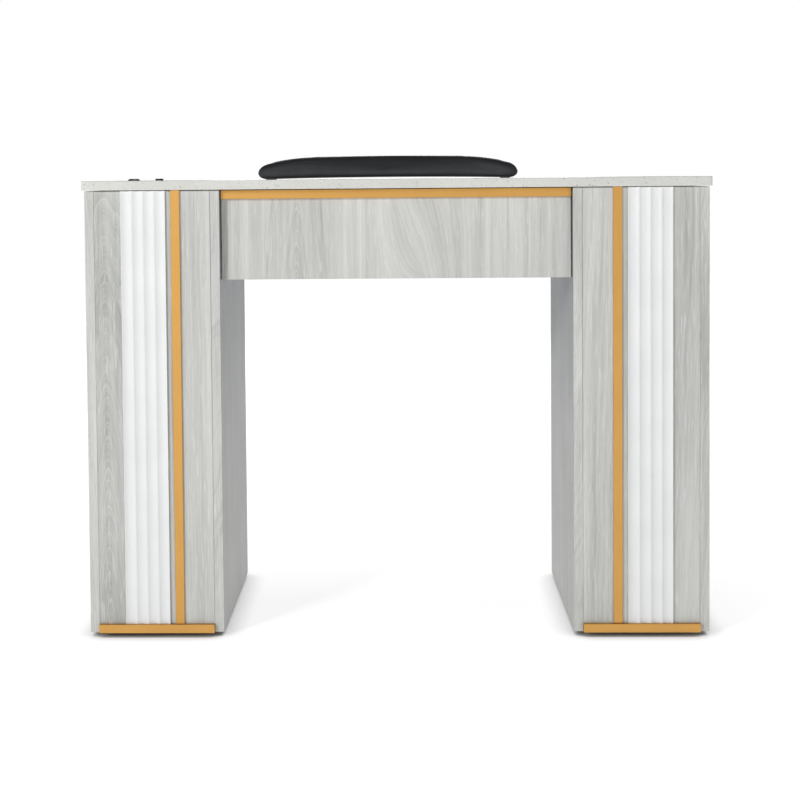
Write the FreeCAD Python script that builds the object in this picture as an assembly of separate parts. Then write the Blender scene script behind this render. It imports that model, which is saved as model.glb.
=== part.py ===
"""Manicure table: a stone worktop on two narrow pedestals, with a knee space between them.

Frame: millimetres, +Z up. X runs along the table, the client sits on the -Y side and the technician
on the +Y side. The origin is on the floor, at the middle of the object's box.

The client's side is closed: each pedestal has a wood-pattern panel with a white fluted strip, a gold
upright strip and a gold base bar, and an apron under a gold rail closes the knee space's top. The
technician's side opens: three drawers in the left pedestal, a wide drawer above the knees and a
hinged door over shelves in the right pedestal. A loose padded armrest stands on the worktop, beside
a bushing for a lamp's pin and a plug that closes a cable hole.
"""

import FreeCAD
import Part
import math
import os

Vector = FreeCAD.Vector

# ---- driving dimensions ---------------------------------------------------------------------
BOARD = 16.0                 # thickness of every carcass board
EASE = 0.6                   # small bevel on board edges
SLAB_LENGTH = 1066.0
SLAB_DEPTH = 444.0
SLAB_THICKNESS = 16.0
SLAB_CORNER_RADIUS = 6.0
SLAB_EDGE_RADIUS = 1.5
CARCASS_LENGTH = 1058.0      # over both pedestals
PEDESTAL_WIDTH = 230.0
PEDESTAL_HEIGHT = 757.0
GLIDE_HEIGHT = 8.0
BUMPER_HEIGHT = 1.2          # clear dots between the carcass and the stone
FRONT_OVERHANG = 8.0         # slab past the client's face of the pedestals
SIDE_DEPTH = 406.0
FRONT_GAP = 2.0              # between the carcass and the drawer fronts and door
HANDLE_REACH = 28.0

# ---- places worked out from them ------------------------------------------------------------
OUTER_X = CARCASS_LENGTH / 2
INNER_X = OUTER_X - PEDESTAL_WIDTH
OPEN_DEPTH = FRONT_OVERHANG + SIDE_DEPTH + FRONT_GAP + BOARD + HANDLE_REACH
SLAB_FRONT = -OPEN_DEPTH / 2
CARCASS_FRONT = SLAB_FRONT + FRONT_OVERHANG
CARCASS_REAR = CARCASS_FRONT + SIDE_DEPTH
FACE_INNER = CARCASS_REAR + FRONT_GAP       # inner face of drawer fronts and door
FACE_OUTER = FACE_INNER + BOARD
HANDLE_TIP = FACE_OUTER + HANDLE_REACH
CARCASS_BOTTOM = GLIDE_HEIGHT
CARCASS_TOP = CARCASS_BOTTOM + PEDESTAL_HEIGHT
SLAB_BOTTOM = CARCASS_TOP + BUMPER_HEIGHT
SLAB_TOP = SLAB_BOTTOM + SLAB_THICKNESS
PANEL_BACK = CARCASS_FRONT + BOARD          # inner face of the pedestals' client-side panels

# ---- client-side trim, measured inwards from a pedestal's outer face -------------------------
FLUTE_START = 62.0
FLUTE_COUNT = 4
FLUTE_PITCH = 19.0
FLUTE_RIDGE = 1.6            # flat crest between two scoops
FLUTE_DEPTH = 3.0
FLUTE_STRIP_THICKNESS = 9.0
FLUTE_REBATE = 5.0           # how deep the strip is let into the panel
GOLD_START = 147.5
GOLD_WIDTH = 15.0
GOLD_STRIP_PROUD = 4.0
GOLD_BAR_PROUD = 8.0
APRON_RECESS = 18.0
APRON_HEIGHT = 153.0
APRON_END_GAP = 1.2

# ---- fasteners ------------------------------------------------------------------------------
CAM_RADIUS = 7.3
CAM_POCKET_RADIUS = 7.5
CAM_DEPTH = 12.5
CAM_INSET = 34.0             # cam's axis from the end of its board
BOLT_RADIUS = 3.0
BOLT_HOLE_RADIUS = 3.5
BOLT_THREAD_RADIUS = 2.5
BOLT_BITE = 11.0
DOWEL_RADIUS = 4.0
DOWEL_IN_END = 18.0
DOWEL_IN_FACE = 10.0
DOWEL_OFFSET = 32.0          # dowel beside its cam
PIN_RADIUS = 2.5
PIN_DEPTH = 9.0
PIN_STICKOUT = 8.0
PIN_PITCH = 32.0

# ---- drawers --------------------------------------------------------------------------------
RAIL_THICKNESS = 12.7        # one telescopic slide, closed
RAIL_LENGTH = 348.0
RAIL_STEEL = 1.2
RAIL_HALF_HEIGHT = 22.5
BOX_BOARD = 12.0
BOX_BOTTOM = 6.0
BOX_GROOVE_DEPTH = 6.0
BOX_GROOVE_RISE = 10.0
BOX_DEPTH = 354.0
FRONT_REVEAL = 2.0           # front's edge inside its pedestal's edge
FRONT_SPACING = 3.0
LEFT_FRONT_HEIGHTS = {"left_top": 180.0, "left_middle": 240.0, "left_bottom": 327.0}
LEFT_BOX_HEIGHTS = {"left_top": 110.0, "left_middle": 160.0, "left_bottom": 230.0}
CENTRE_FRONT_HEIGHT = 123.0
CENTRE_BOX_HEIGHT = 88.0
CENTRE_END_GAP = 3.0
BOX_BELOW_FRONT_TOP = 32.0   # from a front's top edge down to its box's top edge
PULL_SECTION = 10.0
PULL_SPREAD = 128.0          # between a pull's two posts
PULL_OVERRUN = 10.0
SCREW_RADIUS = 2.0
SCREW_HOLE_RADIUS = 2.3
SCREW_HEAD_RADIUS = 4.0
SCREW_HEAD = 2.5
SCREW_BITE = 10.0

# ---- door -----------------------------------------------------------------------------------
HINGE_AXIS_OUT = 2.0         # pin's axis outside the pedestal's outer face
HINGE_HEIGHT = 48.0
HINGE_LEAF = 0.9
HINGE_LEAF_WIDTH = 15.0
KNUCKLE_RADIUS = 1.7
HINGE_PIN_RADIUS = 1.0
KNUCKLE_BORE = 1.05
HINGE_LEVELS = (90.0, 386.0, 682.0)
DOOR_PULL_INSET = 28.0
SHELF_LEVELS = (208.0, 400.0, 592.0)

# ---- worktop fittings -----------------------------------------------------------------------
FITTING_Y = SLAB_FRONT + SLAB_DEPTH / 2
LAMP_X = -480.0
LAMP_BORE = 6.1
LAMP_BARREL = 7.0
LAMP_HOLE = 7.2
LAMP_FLANGE_RADIUS = 11.5
LAMP_FLANGE_TOP_RADIUS = 8.0
FITTING_HEIGHT = 3.5
LAMP_BELOW_CARCASS = 8.0
PLUG_X = -433.5
PLUG_HEAD = 7.4
PLUG_SHANK = 4.9
PLUG_HOLE = 5.2
PLUG_SHANK_LENGTH = 14.0

# ---- armrest --------------------------------------------------------------------------------
REST_X = -13.25
REST_Y = SLAB_FRONT + 100.0
REST_LENGTH = 448.5
REST_DEPTH = 120.0
REST_FOOT = 1.0              # underside above the slab at the ends
REST_ARCH = 2.1              # further rise of the underside at mid-length
REST_BASE = 5.0
REST_BASE_LENGTH = 422.0
REST_BASE_INSET = 8.0
REST_CORNER_RADIUS = 22.0
REST_HEIGHTS = ((0.0, 40.0), (90.0, 39.6), (124.0, 39.0), (158.0, 36.7), (182.0, 33.6), (212.0, 25.3))
REST_NOSE = 11.5             # height of the rounded end's furthest point


def block(x, y, z):
    """A plain box from three (low, high) pairs."""
    return Part.makeBox(x[1] - x[0], y[1] - y[0], z[1] - z[0], Vector(x[0], y[0], z[0]))


def board(x, y, z, ease=EASE):
    """A box with every edge slightly bevelled, as a banded board has."""
    solid = block(x, y, z)
    return solid.makeChamfer(ease, solid.Edges)


def rod(start, direction, radius, length):
    """A cylinder from a point along a direction."""
    return Part.makeCylinder(radius, length, start, direction)


def across(side, near, far):
    """(low, high) in X of a stretch measured inwards from a pedestal's outer face."""
    return tuple(sorted((side * (OUTER_X - near), side * (OUTER_X - far))))


def group(solids):
    return Part.makeCompound(list(solids))


def save(name, shape):
    shape.exportStep(os.path.join("parts", name + ".step"))


# ---- knock-down joints ----------------------------------------------------------------------
def knock_down_joints():
    """Every cam and dowel: (face board, end board, point on the seam, into the end board, to the cam's
    face, along the seam to its dowel)."""
    up, back = Vector(0, 0, 1), Vector(0, 1, 0)
    joints = []
    for side, hand in ((-1, "left"), (1, "right")):
        inward = Vector(-side, 0, 0)
        seams = (
            (hand + "_outer_side", side * (OUTER_X - BOARD), inward),
            (hand + "_inner_side", side * (INNER_X + BOARD), -inward),
        )
        for face_board, x, into in seams:
            for y in (PANEL_BACK + 50, CARCASS_REAR - 60):
                low = Vector(x, y, CARCASS_BOTTOM + BOARD / 2)
                high = Vector(x, y, CARCASS_TOP - BOARD / 2)
                joints.append((face_board, hand + "_bottom_panel", low, into, up, back))
                joints.append((face_board, hand + "_top_panel", high, into, -up, back))
            for z in (CARCASS_BOTTOM + 160, CARCASS_TOP - 160):
                seam = Vector(x, PANEL_BACK - BOARD / 2, z)
                joints.append((face_board, hand + "_front_panel", seam, into, back, up))
        for y in (PANEL_BACK + 110, CARCASS_REAR - 120):
            seam = Vector(side * INNER_X, y, CARCASS_TOP - BOARD / 2)
            joints.append((hand + "_inner_side", "sub_top_panel", seam, inward, -up, back))
        seam = Vector(side * INNER_X, apron_span()[0] + BOARD / 2, CARCASS_TOP - 110)
        joints.append((hand + "_inner_side", "apron_panel", seam, inward, back, up))
    return joints


def drilled(name, shape):
    """A board with the holes that its cams, bolts and dowels need."""
    for face_board, end_board, seam, into, face, along in knock_down_joints():
        dowel = seam + along * DOWEL_OFFSET
        if name == face_board:
            shape = shape.cut(rod(seam, -into, BOLT_THREAD_RADIUS, BOLT_BITE))
            shape = shape.cut(rod(dowel, -into, DOWEL_RADIUS, DOWEL_IN_FACE))
        if name == end_board:
            shape = shape.cut(rod(seam, into, BOLT_HOLE_RADIUS, CAM_INSET))
            shape = shape.cut(rod(dowel, into, DOWEL_RADIUS, DOWEL_IN_END))
            mouth = seam + into * CAM_INSET + face * (BOARD / 2)
            shape = shape.cut(rod(mouth, -face, CAM_POCKET_RADIUS, CAM_DEPTH))
    return shape


def cam_locks():
    """Each cam disc, and the bolt that it pulls."""
    solids = []
    for _, _, seam, into, face, _ in knock_down_joints():
        mouth = seam + into * CAM_INSET + face * (BOARD / 2 - 0.3)
        cam = rod(mouth, -face, CAM_RADIUS, CAM_DEPTH - 0.5)
        slot = rod(seam + into * (CAM_INSET - CAM_RADIUS - 1), into, BOLT_HOLE_RADIUS, CAM_RADIUS + 3)
        thread = rod(seam - into * BOLT_BITE, into, BOLT_THREAD_RADIUS, BOLT_BITE)
        shank = rod(seam, into, BOLT_RADIUS, CAM_INSET)
        solids += [cam.cut(slot), thread.fuse(shank)]
    return group(solids)


def dowels():
    length = DOWEL_IN_END + DOWEL_IN_FACE - 1
    starts = ((s + along * DOWEL_OFFSET, into) for _, _, s, into, _, along in knock_down_joints())
    return group(rod(p - into * (DOWEL_IN_FACE - 0.5), into, DOWEL_RADIUS, length) for p, into in starts)


# ---- worktop --------------------------------------------------------------------------------
def tabletop():
    x = (-SLAB_LENGTH / 2, SLAB_LENGTH / 2)
    slab = block(x, (SLAB_FRONT, SLAB_FRONT + SLAB_DEPTH), (SLAB_BOTTOM, SLAB_TOP))
    corners = [e for e in slab.Edges if abs(e.tangentAt(e.FirstParameter).z) > 0.9]
    slab = slab.makeFillet(SLAB_CORNER_RADIUS, corners)
    rims = [e for e in slab.Edges if abs(e.tangentAt(e.FirstParameter).z) < 0.1]
    slab = slab.makeFillet(SLAB_EDGE_RADIUS, rims)
    below = Vector(LAMP_X, FITTING_Y, SLAB_BOTTOM - 1)
    slab = slab.cut(rod(below, Vector(0, 0, 1), LAMP_HOLE, SLAB_THICKNESS + 2))
    below.x = PLUG_X
    return slab.cut(rod(below, Vector(0, 0, 1), PLUG_HOLE, SLAB_THICKNESS + 2))


def slab_bumpers():
    xs = (OUTER_X - 30, INNER_X + 30, 200)
    ys = (CARCASS_FRONT + 30, CARCASS_REAR - 30)
    spots = [(s * x, y) for s in (-1, 1) for x in xs for y in ys]
    return group(rod(Vector(x, y, CARCASS_TOP), Vector(0, 0, 1), 6, BUMPER_HEIGHT) for x, y in spots)


def lamp_bushing():
    """A flanged barrel through the slab and the board under it, for a lamp's pin."""
    up = Vector(0, 0, 1)
    bottom = Vector(LAMP_X, FITTING_Y, CARCASS_TOP - BOARD - LAMP_BELOW_CARCASS)
    seat = Vector(LAMP_X, FITTING_Y, SLAB_TOP)
    barrel = rod(bottom, up, LAMP_BARREL, SLAB_TOP - bottom.z)
    skirt = Part.makeCylinder(LAMP_FLANGE_RADIUS, 0.8, seat)
    cone_base = seat + up * 0.8
    cone = Part.makeCone(LAMP_FLANGE_RADIUS, LAMP_FLANGE_TOP_RADIUS, FITTING_HEIGHT - 0.8, cone_base)
    body = barrel.fuse([skirt, cone]).removeSplitter()
    return body.cut(rod(bottom, up, LAMP_BORE, SLAB_TOP + FITTING_HEIGHT - bottom.z))


def lamp_bushing_nut():
    """The hexagonal nut that clamps the bushing, its thread left plain."""
    centre = Vector(LAMP_X, FITTING_Y, CARCASS_TOP - BOARD - 6)
    corners = [
        centre + Vector(12 * math.cos(math.radians(60 * i)), 12 * math.sin(math.radians(60 * i)), 0)
        for i in range(7)
    ]
    nut = Part.Face(Part.makePolygon(corners)).extrude(Vector(0, 0, 6))
    return nut.cut(rod(centre, Vector(0, 0, 1), LAMP_BARREL, 6))


def cable_plug():
    """A rubber plug with a domed head, which lifts out of the cable hole."""
    head = Part.makeCylinder(PLUG_HEAD, FITTING_HEIGHT, Vector(PLUG_X, FITTING_Y, SLAB_TOP))
    head = head.makeFillet(1.5, [e for e in head.Edges if e.BoundBox.ZMin > SLAB_TOP + 1])
    start = Vector(PLUG_X, FITTING_Y, SLAB_TOP - PLUG_SHANK_LENGTH)
    shank = rod(start, Vector(0, 0, 1), PLUG_SHANK, PLUG_SHANK_LENGTH)
    return head.fuse(shank)


# ---- pedestals ------------------------------------------------------------------------------
CARCASS_Y = (CARCASS_FRONT, CARCASS_REAR)
CARCASS_Z = (CARCASS_BOTTOM, CARCASS_TOP)
INSIDE = (BOARD, PEDESTAL_WIDTH - BOARD)    # a pedestal's inside, from its outer face


def pin_points(side):
    """Centre of every shelf-pin hole on the two inside faces, and the way that it goes in."""
    points = []
    for near, into in ((BOARD, Vector(side, 0, 0)), (PEDESTAL_WIDTH - BOARD, Vector(-side, 0, 0))):
        x = side * (OUTER_X - near)
        for y in (PANEL_BACK + 60, CARCASS_REAR - 50):
            for level in SHELF_LEVELS:
                for step in (-2, -1, 0, 1, 2):
                    points.append((Vector(x, y, level - PIN_RADIUS + step * PIN_PITCH), into, step))
    return points


def side_panel(side, hand, name):
    span = (0, BOARD) if name == "outer_side" else (PEDESTAL_WIDTH - BOARD, PEDESTAL_WIDTH)
    panel = board(across(side, *span), CARCASS_Y, CARCASS_Z)
    if hand == "right":
        for point, into, _ in pin_points(side):
            if abs(point.x) > (OUTER_X + INNER_X) / 2 and name == "inner_side":
                continue
            if abs(point.x) < (OUTER_X + INNER_X) / 2 and name == "outer_side":
                continue
            panel = panel.cut(rod(point, into, PIN_RADIUS, PIN_DEPTH))
    return drilled(hand + "_" + name, panel)


def front_panel(side, hand):
    x = across(side, INSIDE[0] + 0.1, INSIDE[1] - 0.1)
    panel = board(x, (CARCASS_FRONT, PANEL_BACK), CARCASS_Z)
    rebate = (CARCASS_FRONT - 1, CARCASS_FRONT + FLUTE_REBATE)
    far = FLUTE_START + FLUTE_COUNT * FLUTE_PITCH + 0.2
    panel = panel.cut(block(across(side, FLUTE_START - 0.2, far), rebate, (0, SLAB_TOP)))
    return drilled(hand + "_front_panel", panel)


def level_panel(side, hand, name):
    low = CARCASS_BOTTOM if name == "bottom_panel" else CARCASS_TOP - BOARD
    panel = board(across(side, *INSIDE), (PANEL_BACK, CARCASS_REAR), (low, low + BOARD))
    panel = drilled(hand + "_" + name, panel)
    up = Vector(0, 0, 1)
    if name == "bottom_panel":
        for spot in glide_spots(side):
            panel = panel.cut(rod(spot + up * GLIDE_HEIGHT, up, 2.0, 10.5))
    elif hand == "left":
        below = Vector(0, FITTING_Y, low - 1)
        for x, radius in ((LAMP_X, LAMP_HOLE), (PLUG_X, PLUG_HOLE)):
            below.x = x
            panel = panel.cut(rod(below, up, radius, BOARD + 2))
    return panel


def fluted_strip(side):
    """A strip with four shallow scoops along its face, parted by narrow crests."""
    near = across(side, FLUTE_START, FLUTE_START + FLUTE_COUNT * FLUTE_PITCH)[0]
    back = CARCASS_FRONT + FLUTE_REBATE
    crest = back - FLUTE_STRIP_THICKNESS
    end = near + FLUTE_COUNT * FLUTE_PITCH
    edges = [Part.LineSegment(Vector(near, back, 0), Vector(near, crest, 0)).toShape()]
    x = near
    for _ in range(FLUTE_COUNT):
        first, last = x + FLUTE_RIDGE / 2, x + FLUTE_PITCH - FLUTE_RIDGE / 2
        middle = Vector((first + last) / 2, crest + FLUTE_DEPTH, 0)
        edges.append(Part.LineSegment(Vector(x, crest, 0), Vector(first, crest, 0)).toShape())
        edges.append(Part.Arc(Vector(first, crest, 0), middle, Vector(last, crest, 0)).toShape())
        x += FLUTE_PITCH
        edges.append(Part.LineSegment(Vector(last, crest, 0), Vector(x, crest, 0)).toShape())
    edges.append(Part.LineSegment(Vector(end, crest, 0), Vector(end, back, 0)).toShape())
    edges.append(Part.LineSegment(Vector(end, back, 0), Vector(near, back, 0)).toShape())
    outline = Part.Face(Part.Wire(Part.__sortEdges__(edges)))
    outline.translate(Vector(0, 0, CARCASS_BOTTOM + GOLD_WIDTH))
    return outline.extrude(Vector(0, 0, PEDESTAL_HEIGHT - GOLD_WIDTH))


def gold_strip(side):
    y = (CARCASS_FRONT - GOLD_STRIP_PROUD, CARCASS_FRONT)
    z = (CARCASS_BOTTOM + GOLD_WIDTH, SLAB_BOTTOM)
    return board(across(side, GOLD_START, GOLD_START + GOLD_WIDTH), y, z, 0.4)


def gold_base_bar(side):
    y = (CARCASS_FRONT - GOLD_BAR_PROUD, CARCASS_FRONT)
    z = (CARCASS_BOTTOM, CARCASS_BOTTOM + GOLD_WIDTH)
    return board(across(side, *INSIDE), y, z, 0.5)


def glide_spots(side):
    xs = across(side, 40, PEDESTAL_WIDTH - 40)
    ys = (CARCASS_FRONT + 34, CARCASS_REAR - 24)
    return [Vector(x, y, 0) for x in xs for y in ys]


def floor_glides():
    """Nylon nail-in glides under both bottom boards."""
    up = Vector(0, 0, 1)
    solids = []
    for spot in glide_spots(-1) + glide_spots(1):
        foot = Part.makeCone(9, 11, 3, spot)
        body = rod(spot + up * 3, up, 11, GLIDE_HEIGHT - 3)
        nail = rod(spot + up * GLIDE_HEIGHT, up, 2.0, 10)
        solids.append(foot.fuse([body, nail]).removeSplitter())
    return group(solids)


# ---- knee space -----------------------------------------------------------------------------
def apron_span():
    front = CARCASS_FRONT + APRON_RECESS
    return front, front + BOARD


def apron_panel():
    x = (-INNER_X + APRON_END_GAP, INNER_X - APRON_END_GAP)
    panel = board(x, apron_span(), (CARCASS_TOP - APRON_HEIGHT, CARCASS_TOP))
    return drilled("apron_panel", panel)


def apron_gold_rail():
    x = (-INNER_X + APRON_END_GAP, INNER_X - APRON_END_GAP)
    front = apron_span()[0]
    return board(x, (front - GOLD_BAR_PROUD, front), (CARCASS_TOP - GOLD_WIDTH, CARCASS_TOP), 0.5)


def sub_top_panel():
    y = (apron_span()[1], CARCASS_REAR)
    panel = board((-INNER_X, INNER_X), y, (CARCASS_TOP - BOARD, CARCASS_TOP))
    return drilled("sub_top_panel", panel)


# ---- drawers --------------------------------------------------------------------------------
def drawer_layout():
    """Each drawer: opening in X, front's X and Z, box's Z."""
    layout = {}
    top = CARCASS_TOP - FRONT_REVEAL
    opening = across(-1, *INSIDE)
    front_x = across(-1, FRONT_REVEAL, PEDESTAL_WIDTH - FRONT_REVEAL)
    for name, height in LEFT_FRONT_HEIGHTS.items():
        box_top = top - BOX_BELOW_FRONT_TOP
        box = (box_top - LEFT_BOX_HEIGHTS[name], box_top)
        layout[name] = (opening, front_x, (top - height, top), box)
        top -= height + FRONT_SPACING
    top = CARCASS_TOP - FRONT_REVEAL
    opening = (-INNER_X, INNER_X)
    front_x = (-INNER_X + CENTRE_END_GAP, INNER_X - CENTRE_END_GAP)
    box_top = top - BOX_BELOW_FRONT_TOP + 8
    box = (box_top - CENTRE_BOX_HEIGHT, box_top)
    layout["centre"] = (opening, front_x, (top - CENTRE_FRONT_HEIGHT, top), box)
    return layout


def middle(pair):
    return (pair[0] + pair[1]) / 2


def pull(centre, along, inner_face):
    """A bar pull: its bar, its two posts and the screws that hold them, from a face outwards. The
    screws start at inner_face, the far side of the board or boards that they clamp."""
    out = Vector(0, 1, 0)
    half = PULL_SECTION / 2
    reach = PULL_SPREAD / 2 + PULL_OVERRUN
    bar_y = (HANDLE_TIP - PULL_SECTION, HANDLE_TIP)
    spread = Vector(half, 0, half) + Vector(abs(along.x), 0, abs(along.z)) * (reach - half)
    low, high = centre - spread, centre + spread
    solids = [board((low.x, high.x), bar_y, (low.z, high.z), 1.2)]
    for sign in (-1, 1):
        foot = centre + along * (sign * PULL_SPREAD / 2)
        post = rod(Vector(foot.x, FACE_OUTER, foot.z), out, 4.5, bar_y[0] - FACE_OUTER)
        head = Vector(foot.x, inner_face - SCREW_HEAD, foot.z)
        start = Vector(foot.x, inner_face, foot.z)
        shank = rod(start, out, SCREW_RADIUS, FACE_OUTER + SCREW_BITE - inner_face)
        screw = rod(head, out, SCREW_HEAD_RADIUS, SCREW_HEAD).fuse(shank)
        solids += [post.cut(shank), screw]
    return group(solids)


def pull_holes(shape, centre, along):
    """Clearance holes for a pull's two screws."""
    for sign in (-1, 1):
        foot = centre + along * (sign * PULL_SPREAD / 2)
        start = Vector(foot.x, FACE_INNER - BOX_BOARD - 5, foot.z)
        shape = shape.cut(rod(start, Vector(0, 1, 0), SCREW_HOLE_RADIUS, 60))
    return shape


def drawer_front(front_x, front_z, centre):
    return pull_holes(board(front_x, (FACE_INNER, FACE_OUTER), front_z), centre, Vector(1, 0, 0))


def drawer_box(opening, box_z, centre):
    """Two sides, two ends and a bottom held in their grooves."""
    x = (opening[0] + RAIL_THICKNESS, opening[1] - RAIL_THICKNESS)
    y = (FACE_INNER - BOX_DEPTH, FACE_INNER)
    groove_z = (box_z[0] + BOX_GROOVE_RISE, box_z[0] + BOX_GROOVE_RISE + BOX_BOTTOM + 0.2)
    reach = BOX_BOARD - BOX_GROOVE_DEPTH
    groove = block((x[0] + reach, x[1] - reach), (y[0] + reach, y[1] - reach), groove_z)
    boards = [
        block((x[0], x[0] + BOX_BOARD), y, box_z),
        block((x[1] - BOX_BOARD, x[1]), y, box_z),
        block((x[0] + BOX_BOARD, x[1] - BOX_BOARD), (y[0], y[0] + BOX_BOARD), box_z),
        block((x[0] + BOX_BOARD, x[1] - BOX_BOARD), (y[1] - BOX_BOARD, y[1]), box_z),
    ]
    boards = [pull_holes(b.cut(groove), centre, Vector(1, 0, 0)) for b in boards]
    inset = reach + 0.4
    bottom_z = (groove_z[0] + 0.1, groove_z[1] - 0.1)
    bottom = block((x[0] + inset, x[1] - inset), (y[0] + inset, y[1] - inset), bottom_z)
    return group(boards + [bottom])


def channel(wall_x, towards, level, points):
    """A steel section drawn as (distance from the wall, height) points, run along the drawer."""
    start = CARCASS_REAR - 2 - RAIL_LENGTH
    outline = [Vector(wall_x + towards * u, start, level + w) for u, w in points]
    return Part.Face(Part.makePolygon(outline + outline[:1])).extrude(Vector(0, RAIL_LENGTH, 0))


def c_section(web, lip, half_height):
    """A C of sheet steel: its web's outer face, its lips' tips and its half height."""
    inwards = RAIL_STEEL if lip > web else -RAIL_STEEL
    inner = half_height - RAIL_STEEL
    return [
        (web, -half_height), (lip, -half_height), (lip, -inner), (web + inwards, -inner),
        (web + inwards, inner), (lip, inner), (lip, half_height), (web, half_height),
    ]


def h_section(web, low, high, half_height):
    """An H on its side: a web with a flange above and below that reaches to both sides."""
    inner = half_height - RAIL_STEEL
    far = web + RAIL_STEEL
    return [
        (low, -half_height), (high, -half_height), (high, -inner), (far, -inner), (far, inner),
        (high, inner), (high, half_height), (low, half_height), (low, inner), (web, inner),
        (web, -inner), (low, -inner),
    ]


def rails(opening, box_z):
    """The cabinet, middle and drawer members of the slides on both sides of one drawer."""
    level = box_z[0] + RAIL_HALF_HEIGHT + 14
    cabinet = c_section(0, 9.6, RAIL_HALF_HEIGHT)
    mid = h_section(5.0, 2.0, 9.6, RAIL_HALF_HEIGHT - 3.3)
    drawer = c_section(RAIL_THICKNESS, 7.4, RAIL_HALF_HEIGHT - 6.9)
    pairs = ((opening[0], 1), (opening[1], -1))
    return [[channel(x, way, level, section) for x, way in pairs] for section in (cabinet, mid, drawer)]


# ---- door and shelves -----------------------------------------------------------------------
HINGE_X = OUTER_X + HINGE_AXIS_OUT
HINGE_Y = (CARCASS_REAR + FACE_INNER) / 2
DOOR_X = across(1, FRONT_REVEAL, PEDESTAL_WIDTH - FRONT_REVEAL)
DOOR_Z = (CARCASS_BOTTOM + FRONT_REVEAL, CARCASS_TOP - FRONT_REVEAL)
DOOR_PULL = Vector(DOOR_X[0] + DOOR_PULL_INSET, 0, middle(DOOR_Z) + 60)


def door_panel():
    panel = board(DOOR_X, (FACE_INNER, FACE_OUTER), DOOR_Z)
    return pull_holes(panel, DOOR_PULL, Vector(0, 0, 1))


def hinge_leaf(level, leaf_y, segments, bore):
    """One leaf, with the knuckles that it carries: a list of (low, high) shares of its height."""
    z = (level, level + HINGE_HEIGHT)
    leaf = block((OUTER_X - HINGE_LEAF_WIDTH, OUTER_X), leaf_y, z)
    up = Vector(0, 0, 1)
    for low, high in segments:
        start = Vector(HINGE_X, HINGE_Y, level + low * HINGE_HEIGHT)
        height = (high - low) * HINGE_HEIGHT
        neck = block((OUTER_X - 1, HINGE_X), leaf_y, (start.z, start.z + height))
        leaf = leaf.fuse([rod(start, up, KNUCKLE_RADIUS, height), neck])
    axis = Vector(HINGE_X, HINGE_Y, level - 1)
    return leaf.cut(rod(axis, up, bore, HINGE_HEIGHT + 2)).removeSplitter()


def hinge_cabinet_leaves():
    leaf_y = (CARCASS_REAR, CARCASS_REAR + HINGE_LEAF)
    ends = ((0, 0.325), (0.675, 1))
    return group(hinge_leaf(z, leaf_y, ends, HINGE_PIN_RADIUS) for z in HINGE_LEVELS)


def hinge_door_leaves():
    leaf_y = (FACE_INNER - HINGE_LEAF, FACE_INNER)
    return group(hinge_leaf(z, leaf_y, ((0.335, 0.665),), KNUCKLE_BORE) for z in HINGE_LEVELS)


def hinge_pins():
    up = Vector(0, 0, 1)
    starts = [Vector(HINGE_X, HINGE_Y, z) for z in HINGE_LEVELS]
    return group(rod(p, up, HINGE_PIN_RADIUS, HINGE_HEIGHT) for p in starts)


def magnetic_catch():
    x = across(1, PEDESTAL_WIDTH - BOARD - 13, PEDESTAL_WIDTH - BOARD)
    z = (CARCASS_TOP - BOARD - 52, CARCASS_TOP - BOARD - 12)
    return board(x, (CARCASS_REAR - 26, CARCASS_REAR + 0.3), z, 0.8)


def catch_plate():
    x = across(1, PEDESTAL_WIDTH - BOARD - 14, PEDESTAL_WIDTH - BOARD - 1)
    z = (CARCASS_TOP - BOARD - 50, CARCASS_TOP - BOARD - 14)
    return board(x, (FACE_INNER - 1.2, FACE_INNER), z, 0.3)


def cabinet_shelves():
    x = across(1, INSIDE[0] + 1, INSIDE[1] - 1)
    y = (PANEL_BACK + 2, CARCASS_REAR - 8)
    return group(board(x, y, (z, z + BOARD)) for z in SHELF_LEVELS)


def shelf_pins():
    """Steel pins: one row of each level's holes holds them."""
    used = [(p, into) for p, into, step in pin_points(1) if step == 0]
    length = PIN_DEPTH + PIN_STICKOUT - 1
    return group(rod(p + into * (PIN_DEPTH - 1), -into, PIN_RADIUS, length) for p, into in used)


# ---- armrest --------------------------------------------------------------------------------
def rest_point(x, height):
    return Vector(REST_X + x, REST_Y - REST_DEPTH / 2, SLAB_TOP + height)


def rest_arch(half, height):
    """An edge along the underside, lifted by the arch at mid-length."""
    rise = REST_ARCH * (2 * half / REST_BASE_LENGTH) ** 2
    return Part.Arc(rest_point(-half, height), rest_point(0, height + rise), rest_point(half, height))


def armrest_base():
    """A thin arched board, let into the cushion's underside."""
    half = REST_BASE_LENGTH / 2
    low, high = REST_FOOT, REST_FOOT + REST_BASE
    edges = [
        rest_arch(half, low).toShape(),
        Part.LineSegment(rest_point(half, low), rest_point(half, high)).toShape(),
        rest_arch(half, high).toShape(),
        Part.LineSegment(rest_point(-half, high), rest_point(-half, low)).toShape(),
    ]
    outline = Part.Face(Part.Wire(Part.__sortEdges__(edges)))
    outline.translate(Vector(0, REST_BASE_INSET, 0))
    return outline.extrude(Vector(0, REST_DEPTH - 2 * REST_BASE_INSET, 0))


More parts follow.
